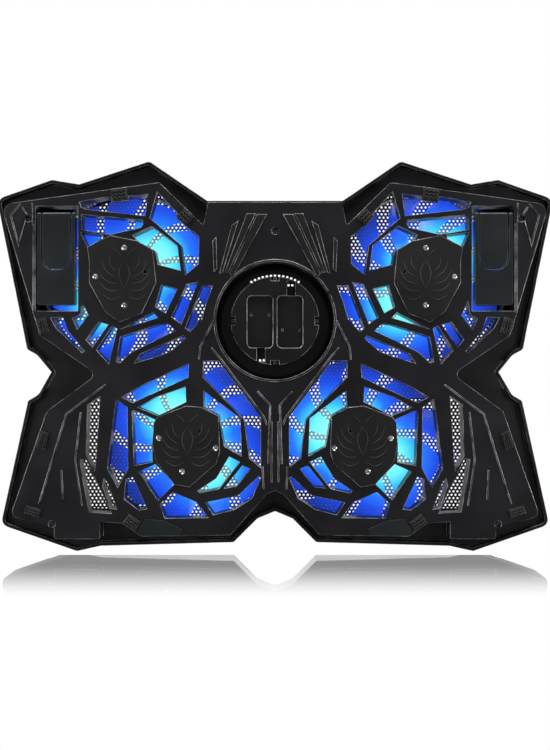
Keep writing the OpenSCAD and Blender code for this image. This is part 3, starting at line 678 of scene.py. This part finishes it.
def to_object(name, shape):
    mesh = bpy.data.meshes.new(name)
    shape.to_mesh(mesh)
    shape.free()
    return link(bpy.data.objects.new(name, mesh))


def settle_curve(curve, name):
    """A mesh object made from a curve."""
    source = link(bpy.data.objects.new(name + "_line", curve))
    graph = bpy.context.evaluated_depsgraph_get()
    mesh = bpy.data.meshes.new_from_object(source.evaluated_get(graph), depsgraph=graph)
    bpy.data.objects.remove(source)
    obj = link(bpy.data.objects.new(name, mesh))
    smooth(obj.data, 50)
    return obj


# ---- geometry trees


def geometry_tree(name, inputs):
    kinds = {"value": "NodeSocketFloat", "count": "NodeSocketInt", "vector": "NodeSocketVector",
             "object": "NodeSocketObject", "finish": "NodeSocketMaterial"}
    tree = bpy.data.node_groups.new(name, "GeometryNodeTree")
    tree.interface.new_socket("Geometry", in_out="INPUT", socket_type="NodeSocketGeometry")
    for label, kind in inputs.items():
        tree.interface.new_socket(label, in_out="INPUT", socket_type=kinds[kind])
    tree.interface.new_socket("Geometry", in_out="OUTPUT", socket_type="NodeSocketGeometry")
    return tree, tree.nodes.new("NodeGroupInput").outputs, tree.nodes.new("NodeGroupOutput")


def grow(obj, tree, values):
    """Runs a geometry tree on the object with these inputs, and keeps the result as its mesh."""
    modifier = obj.modifiers.new(tree.name, "NODES")
    modifier.node_group = tree
    for item in tree.interface.items_tree:
        if item.in_out == "INPUT" and item.name in values:
            modifier[item.identifier] = values[item.name]
    return settle(obj)


def end_tree(tree, end, shape, finish):
    """Ends a tree with real geometry in its finish."""
    real = add(tree, "GeometryNodeRealizeInstances", {0: shape}).outputs[0]
    done = add(tree, "GeometryNodeSetMaterial", {"Geometry": real, "Material": finish}).outputs[0]
    tree.links.new(done, end.inputs[0])
    return tree


def make_perforated_sheet():
    """Fills a plain sheet's outline with staggered rows of the cell that comes in."""
    tree, given, end = geometry_tree("perforated_sheet",
                                     {"Sheet": "object", "Pitch": "value", "Row": "value",
                                      "Thickness": "value", "Finish": "finish"})
    sheet = add(tree, "GeometryNodeObjectInfo", {"Object": given["Sheet"]}).outputs["Geometry"]
    box = add(tree, "GeometryNodeBoundBox", {0: sheet}).outputs
    low = add(tree, "ShaderNodeSeparateXYZ", {0: box["Min"]}).outputs
    high = add(tree, "ShaderNodeSeparateXYZ", {0: box["Max"]}).outputs
    counts, sizes, middles = [], [], []
    for i, step in ((0, given["Pitch"]), (1, given["Row"])):
        span = calc(tree, "SUBTRACT", high[i], low[i])
        count = calc(tree, "ADD", calc(tree, "CEIL", calc(tree, "DIVIDE", span, step)), 2.0)
        counts.append(count)
        sizes.append(calc(tree, "MULTIPLY", calc(tree, "SUBTRACT", count, 1.0), step))
        middles.append(calc(tree, "MULTIPLY", calc(tree, "ADD", high[i], low[i]), 0.5))
    grid = add(tree, "GeometryNodeMeshGrid",
               {"Size X": sizes[0], "Size Y": sizes[1], "Vertices X": counts[0],
                "Vertices Y": counts[1]}).outputs["Mesh"]
    place = add(tree, "GeometryNodeInputPosition").outputs[0]
    y = add(tree, "ShaderNodeSeparateXYZ", {0: place}).outputs["Y"]
    row = calc(tree, "ROUND",
               calc(tree, "DIVIDE", calc(tree, "ADD", y, calc(tree, "MULTIPLY", sizes[1], 0.5)),
                    given["Row"]))
    shift = calc(tree, "MULTIPLY", calc(tree, "MODULO", row, 2.0),
                 calc(tree, "MULTIPLY", given["Pitch"], 0.5))
    offset = add(tree, "ShaderNodeCombineXYZ",
                 {0: calc(tree, "ADD", middles[0], shift), 1: middles[1], 2: low[2]})
    laid = add(tree, "GeometryNodeSetPosition",
               {"Geometry": grid, "Offset": offset.outputs[0]}).outputs[0]
    above = add(tree, "ShaderNodeVectorMath", {0: place, 1: (0, 0, 0.01)},
                operation="ADD").outputs[0]
    ray = add(tree, "GeometryNodeRaycast",
              {"Target Geometry": sheet, "Source Position": above, "Ray Direction": (0, 0, -1),
               "Ray Length": 0.03}).outputs["Is Hit"]
    missed = add(tree, "FunctionNodeBooleanMath", {0: ray}, operation="NOT").outputs[0]
    kept = add(tree, "GeometryNodeDeleteGeometry", {"Geometry": laid, "Selection": missed},
               domain="POINT").outputs[0]
    cells = add(tree, "GeometryNodeInstanceOnPoints",
                {"Points": kept, "Instance": given["Geometry"]}).outputs[0]
    flat = add(tree, "GeometryNodeRealizeInstances", {0: cells}).outputs[0]
    flat = add(tree, "GeometryNodeMergeByDistance",
               {"Geometry": flat, "Distance": 0.01 * mm}).outputs[0]
    raised = add(tree, "GeometryNodeExtrudeMesh",
                 {"Mesh": flat, "Offset": (0, 0, 1), "Offset Scale": given["Thickness"],
                  "Individual": False}, mode="FACES").outputs["Mesh"]
    under = add(tree, "GeometryNodeFlipFaces", {0: flat}).outputs[0]
    both = add(tree, "GeometryNodeJoinGeometry")
    tree.links.new(raised, both.inputs[0])
    tree.links.new(under, both.inputs[0])
    closed = add(tree, "GeometryNodeMergeByDistance",
                 {"Geometry": both.outputs[0], "Distance": 0.01 * mm}).outputs[0]
    return end_tree(tree, end, closed, given["Finish"])


def make_around_axis():
    """Repeats what comes in around a vertical axis."""
    tree, given, end = geometry_tree("around_axis", {"Count": "count", "Centre": "vector",
                                                     "Start": "value", "Finish": "finish"})
    spots = add(tree, "GeometryNodeMeshLine",
                {"Count": given["Count"], "Start Location": given["Centre"],
                 "Offset": (0, 0, 0)}).outputs[0]
    number = add(tree, "GeometryNodeInputIndex").outputs[0]
    step = calc(tree, "DIVIDE", full_turn, given["Count"])
    angle = calc(tree, "MULTIPLY_ADD", number, step, given["Start"])
    turn = add(tree, "ShaderNodeCombineXYZ", {2: angle}).outputs[0]
    turned = add(tree, "GeometryNodeInstanceOnPoints",
                 {"Points": spots, "Instance": given["Geometry"], "Rotation": turn}).outputs[0]
    return end_tree(tree, end, turned, given["Finish"])


def make_at_places():
    """Puts a copy of an item, turned by chance about its axis, on every point that comes in."""
    tree, given, end = geometry_tree("at_places",
                                     {"Item": "object", "Seed": "count", "Finish": "finish"})
    item = add(tree, "GeometryNodeObjectInfo", {"Object": given["Item"]}).outputs["Geometry"]
    chance = add(tree, "FunctionNodeRandomValue", {"Seed": given["Seed"], 3: full_turn},
                 data_type="FLOAT")
    turn = add(tree, "ShaderNodeCombineXYZ", {2: chance.outputs[1]}).outputs[0]
    put = add(tree, "GeometryNodeInstanceOnPoints", {"Points": given["Geometry"], "Instance": item,
                                                     "Rotation": turn}).outputs[0]
    return end_tree(tree, end, put, given["Finish"])


perforated_sheet = make_perforated_sheet()
around_axis = make_around_axis()
at_places = make_at_places()


# ---- pieces


def perforation_cell(pitch, row, hole_r):
    """One cell of the sheet: a rectangle with eight corners about an eight-sided hole."""
    shape = bmesh.new()
    x, y = pitch / 2, row / 2
    outline = [(x, 0), (x, y), (0, y), (-x, y), (-x, 0), (-x, -y), (0, -y), (x, -y)]
    outer = [shape.verts.new((*p, 0)) for p in outline]
    inner = [shape.verts.new((hole_r * math.cos(full_turn * i / 8),
                              hole_r * math.sin(full_turn * i / 8), 0)) for i in range(8)]
    for i in range(8):
        j = (i + 1) % 8
        shape.faces.new((inner[i], outer[i], outer[j], inner[j]))
    return shape


def mesh_panel(side):
    node = "mesh_panel_" + side
    low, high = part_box(node)
    pitch, row = 3.05 * mm, 2.58 * mm
    panel = to_object("perforated_panel_" + side, perforation_cell(pitch, row, 0.9 * mm))
    grow(panel, perforated_sheet, {"Sheet": frame["nodes"][node], "Pitch": pitch, "Row": row,
                                   "Thickness": high.z - low.z, "Finish": lit_sheet_steel(side)})
    placed(panel, "root", [node])


def blade():
    """One swept blade from the hub to its tip, about the Z axis, starting at angle 0."""
    across, along = 11, 14
    width, gap = math.radians(22.7), math.radians(10)
    root_r, tip_r, tip_rounding = 18.4, 61.9, 2.6
    lowest, rise, bulge, thickness = 15.1, 7.0, 0.5, 1.2
    shape = bmesh.new()
    layers = []
    for side in (-0.5, 0.5):
        rows = []
        for j in range(along + 1):
            row = []
            for i in range(across + 1):
                u, v = i / across, j / along
                tip = tip_r - tip_rounding * (2 * u - 1) ** 6
                radius = root_r + (tip - root_r) * v
                sweep = math.radians(0.0115 * (radius - 20) ** 2)
                angle = gap / 2 + width * u + sweep
                height = lowest + rise * u ** 0.85 + bulge * math.sin(math.pi * u) * v
                thick = thickness * (1 - 0.6 * (2 * u - 1) ** 8)
                row.append(shape.verts.new((radius * mm * math.cos(angle),
                                            radius * mm * math.sin(angle),
                                            (height + side * thick) * mm)))
            rows.append(row)
        layers.append(rows)
    low, high = layers
    for j in range(along):
        for i in range(across):
            shape.faces.new((low[j][i], low[j + 1][i], low[j + 1][i + 1], low[j][i + 1]))
            shape.faces.new((high[j][i], high[j][i + 1], high[j + 1][i + 1], high[j + 1][i]))
    rim = ([(0, i) for i in range(across)] + [(j, across) for j in range(along)]
           + [(along, i) for i in range(across, 0, -1)] + [(j, 0) for j in range(along, 0, -1)])
    for (j0, i0), (j1, i1) in zip(rim, rim[1:] + rim[:1]):
        shape.faces.new((low[j0][i0], low[j1][i1], high[j1][i1], high[j0][i0]))
    bmesh.ops.recalc_face_normals(shape, faces=shape.faces)
    return shape


def rotor(fan):
    node = "rotor_" + fan
    body = body_of(node)
    low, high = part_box(node)
    centre = (low + high) / 2
    blades = to_object("blades_" + fan, blade())
    grow(blades, around_axis,
         {"Count": 11, "Centre": (centre.x, centre.y, 0.0), "Start": math.radians(FANS[fan]["gap"]),
          "Finish": lit_blade_plastic(fan)})
    smooth(blades.data, 40)
    placed(blades, body, [node])
    wall, top = 1.6 * mm, high.z
    r = 19.2 * mm
    profile = [(0, top - wall), (r - wall - mm, top - wall), (r - wall, top - wall - mm),
               (r - wall, low.z), (r, low.z), (r, top - 1.2 * mm), (r - 0.4 * mm, top - 0.4 * mm),
               (r - 1.2 * mm, top), (12 * mm, top), (11.7 * mm, top - 0.3 * mm),
               (5 * mm, top - 0.3 * mm), (4.7 * mm, top), (0, top)]
    hub = lathe(profile, 64)
    bmesh.ops.translate(hub, verts=hub.verts, vec=(centre.x, centre.y, 0))
    cup = to_object("hub_" + fan, hub)
    smooth(cup.data)
    placed(cup, body, (), [motor_plastic])


def cross_head(radius, height, shank):
    """A screw's head below z = 0, looking down, with a cross recess, and a short shank above."""
    dome, arm, depth, reach = 0.35 * mm, 0.3 * mm, 0.6 * mm, 0.62
    radii = [0.0, 0.12, 0.2, 0.3, 0.42, 0.55, 0.68, 0.8, 0.92, 1.0]
    steps = 32
    shape = bmesh.new()
    rings = []
    for share in radii:
        corners = []
        for i in range(steps if share else 1):
            angle = full_turn * i / steps
            x, y = radius * share * math.cos(angle), radius * share * math.sin(angle)
            in_cross = min(abs(x), abs(y)) < arm and share < reach
            z = -height + dome * share ** 3 + (depth * (1 - share) if in_cross else 0)
            corners.append(shape.verts.new((x, y, z)))
        rings.append(corners)
    for level, share in ((-height * 0.25, 1.0), (0.0, 0.97), (0.0, shank / radius),
                         (3 * shank, shank / radius)):
        rings.append(ring(shape, radius * share, level, steps))
    rings.append(ring(shape, 0, 3 * shank, steps))
    return join_rings(shape, rings, steps)


def screws(name, node, finish, head, seed, upside_down=False):
    """Detailed screws where a node's solids are, with their heads at the solids' lower ends."""
    places = []
    for corners in solids_in(node):
        centre, low, high = middle_of(corners)
        places.append((centre.x, centre.y, high.z if upside_down else low.z))
    mesh = bpy.data.meshes.new(name)
    mesh.from_pydata(sorted(places), [], [])
    group = link(bpy.data.objects.new(name, mesh))
    radius, height = head
    shape = cross_head(radius * mm, height * mm, 0.55 * radius * mm)
    if upside_down:
        bmesh.ops.rotate(shape, verts=shape.verts, matrix=Matrix.Rotation(math.pi, 3, "X"))
        bmesh.ops.translate(shape, verts=shape.verts, vec=(0, 0, -height * mm))
    else:
        bmesh.ops.translate(shape, verts=shape.verts, vec=(0, 0, height * mm))
    item = to_object(name + "_item", shape)
    smooth(item.data, 30)
    grow(group, at_places, {"Item": item, "Seed": seed, "Finish": finish})
    bpy.data.objects.remove(item)
    placed(group, "root", [node])


def prism(shape, outline, low, high, matrix):
    """Adds an extruded outline, which runs anticlockwise, to a shape."""
    bottom = [shape.verts.new(matrix @ Vector((x, y, low))) for x, y in outline]
    top = [shape.verts.new(matrix @ Vector((x, y, high))) for x, y in outline]
    shape.faces.new(bottom[::-1])
    shape.faces.new(top)
    for i in range(len(outline)):
        j = (i + 1) % len(outline)
        shape.faces.new((bottom[i], bottom[j], top[j], top[i]))


def band(points, width):
    """The outline of a line of this width, with mitred corners."""
    left, right = [], []
    for i, point in enumerate(points):
        ways = [(Vector(points[k + 1]) - Vector(points[k])).normalized() for k in (i - 1, i)
                if 0 <= k < len(points) - 1]
        way = sum(ways, Vector((0, 0))).normalized()
        side = Vector((-way.y, way.x)) * width / 2 / way.dot(ways[0])
        left.append(Vector(point) + side)
        right.append(Vector(point) - side)
    return right + left[::-1]


def raised_shapes(name, outlines, low, high, material):
    """Low raised shapes on both halves, from anticlockwise outlines in mm for x > 0."""
    shape = bmesh.new()
    for outline in outlines:
        for side in (1, -1):
            points = [(side * x * mm, y * mm) for x, y in outline[::side]]
            prism(shape, points, low * mm, high * mm, Matrix())
    bmesh.ops.recalc_face_normals(shape, faces=shape.faces)
    round_edges(shape, 0.2 * mm, 2)
    raised = even_normals(to_object(name, shape))
    placed(raised, "root", (), [material])


# Raised lines on the deck's wings, and the plates along the cover's front edge, in mm for x > 0
DECK_LINES = [[(175, 18), (179.5, 42), (188, 86), (186, 106)], [(171, 20), (175.5, 44), (182, 78)],
              [(172, -44), (177, -70), (186, -104)], [(168.5, -52), (173, -74), (178, -92)],
              [(40, -129), (70, -130.5), (108, -131)],
              [(58, 111), (76, 121), (92, 134), (112, 132)]]
FRONT_PLATE = [(70, -131), (96.5, -131.2), (100.5, -128.6), (94.7, -119), (81.6, -120),
               (67.7, -126.4)]


def shell_details():
    raised_shapes("deck_lines", [band(line, 1.6) for line in DECK_LINES], 26.9, 27.35,
                  deck_plastic)
    raised_shapes("front_plates", [FRONT_PLATE], 1.3, 2.1, leg_plastic)


def rubber_pads():
    """Pads with a base and three zigzag ridges each, where the plain blocks are."""
    shape = bmesh.new()
    for corners in solids_in("rubber_pads"):
        centre, low, high = middle_of(corners)
        foot = [p for p in corners if p.z < low.z + 0.1 * mm]
        first = foot[0]
        others = sorted((p for p in foot if (p - first).length > mm),
                        key=lambda p: (p - first).length)
        short, long = others[0] - first, others[1] - first
        if long.x < -0.01 * mm or (long.x < 0.01 * mm and long.y < 0):
            long = -long
        turn = Matrix.Translation((centre.x, centre.y,
                                   0)) @ Matrix.Rotation(math.atan2(long.y, long.x), 4, "Z")
        half_l, half_w = long.length / 2, short.length / 2
        tread = low.z + 0.8 * mm
        prism(shape, [(-half_l, -half_w), (half_l, -half_w), (half_l, half_w), (-half_l, half_w)],
              tread, high.z, turn)
        teeth = ridges = 3
        for row in range(ridges):
            middle = (row - 1) * half_w * 0.62
            rib, swing = half_w * 0.13, half_w * 0.14
            xs = [-half_l * 0.92 + half_l * 1.84 * i / (2 * teeth) for i in range(2 * teeth + 1)]
            lower = [(x, middle - rib + (swing if i % 2 else -swing)) for i, x in enumerate(xs)]
            upper = [(x, middle + rib + (swing if i % 2 else -swing)) for i, x in enumerate(xs)]
            prism(shape, lower + upper[::-1], low.z, tread + 0.1 * mm, turn)
    bmesh.ops.recalc_face_normals(shape, faces=shape.faces)
    round_edges(shape, 0.12 * mm, 1)
    pads = even_normals(to_object("treaded_pads", shape))
    placed(pads, "root", ["rubber_pads"], [pad_rubber])


def cover_shell():
    """The bottom cover with rounded edges, and its four shields in their own finish."""
    shape = node_shape("bottom_cover", 11 * mm)
    shield_z = min(v.co.z for v in shape.verts)
    round_edges(shape, 0.28 * mm, 2)
    for face in shape.faces:
        if face.calc_center_median().z < shield_z + 0.2 * mm:
            face.material_index = 1
    cover = even_normals(to_object("bottom_cover_shell", shape))
    placed(cover, "root", ["bottom_cover"], [cover_plastic, shield_plastic])


# Strokes of the shields' ornament, in mm about their middle: an almond and pairs of leaves
ALMOND = [(0, 10.5), (2.6, 6.5), (3.6, 2), (2.4, -3), (0, -7.5)]
LEAVES = [
    [(5.2, 3.5), (8, 5.5), (9.6, 9), (9.2, 13)],
    [(5.5, -0.5), (9.5, 1.2), (12.8, 5), (14, 10)],
    [(5, -4.5), (10, -4), (14.5, -0.5), (16.5, 5)],
    [(3.6, -8.6), (8, -9.6), (13, -7.4), (16, -3)],
    [(2, -11.6), (5.5, -14.6), (10.5, -14.4), (13.8, -11)],
    [(1.6, 13), (3.4, 16), (7, 18)],
]


def ornament(fan):
    """Raised strokes on one shield."""
    scale = 1.15
    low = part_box("bottom_cover")[0].z
    centre = Vector((*FANS[fan]["centre"], 0)) * mm
    curve = bpy.data.curves.new("ornament_" + fan, "CURVE")
    curve.dimensions = "3D"
    curve.bevel_depth = 0.42 * mm
    curve.bevel_resolution = 1
    curve.resolution_u = 5
    curve.use_fill_caps = True
    strokes = [[(side * x, y) for x, y in stroke] for stroke in LEAVES + [ALMOND]
               for side in (1, -1)]
    for stroke in strokes:
        spline = curve.splines.new("NURBS")
        spline.points.add(len(stroke) - 1)
        spline.order_u = 3
        spline.use_endpoint_u = True
        for k, (x, y) in enumerate(stroke):
            place = centre + Vector((x, y, 0)) * mm * scale
            spline.points[k].co = (place.x, place.y, low + 0.1 * mm, 1)
            share = k / (len(stroke) - 1)
            spline.points[k].radius = 0.35 + 0.65 * math.sin(math.pi * share)
    obj = settle_curve(curve, "ornament_" + fan)
    placed(obj, "root", (), [relief_plastic])


# Nodes that keep their own shape: name, slot and finish. A fan's name follows in the second list
PLAIN_NODES = [
    ("dial_pots", "motor_plastic", motor_plastic), ("control_board", "board", board_mask),
    ("usb_port_inner", "screw_steel", bright_zinc), ("usb_port_outer", "screw_steel", bright_zinc),
    ("usb_tongues", "motor_plastic", motor_plastic), ("wire_harness", "wire", lead_jacket),
    ("led_chips", "led", lamp_chip)]
FAN_NODES = [
    ("shaft_", "screw_steel", bright_zinc), ("magnet_", "magnet", ferrite),
    ("stator_", "winding", lacquered_copper), ("bearing_", "bronze", sintered_bronze),
    ("fan_base_", "motor_plastic", motor_plastic), ("led_ring_", "board", motor_plastic)]


def build():
    rounded("top_frame", "root", deck_plastic, 0.5)
    cover_shell()
    for side in ("right", "left"):
        mesh_panel(side)
        for node, width in (("leg_", 0.4), ("low_leg_", 0.35)):
            rounded(node + side, node + side, leg_plastic, width)
        rounded("stop_" + side, "stop_" + side, deck_plastic, 0.35)
        finish_node("leg_pin_" + side, bright_zinc)
        finish_node("stop_pin_" + side, bright_zinc)
    rounded("centre_badge", "root", badge_plastic, 0.15)
    rounded("centre_disc", "root", disc_plastic, 0.3)
    shell_details()
    rubber_pads()
    screws("bright_screws", "fan_screws", bright_zinc, (1.9, 1.0), 3)
    screws("dark_screws", "case_screws", black_zinc, (2.3, 1.1), 5)
    screws("board_fixings", "board_screws", bright_zinc, (2.2, 1.4), 7, True)
    for dial in ("speed_dial", "light_dial"):
        rounded(dial, dial, dial_plastic, 0.15, 1)
    for node, slot, material in PLAIN_NODES:
        finish_node(node, material)
    for fan in FANS:
        rotor(fan)
        for node, slot, material in FAN_NODES:
            finish_node(node + fan, material)
        ornament(fan)


add_camera()
studio()
build()
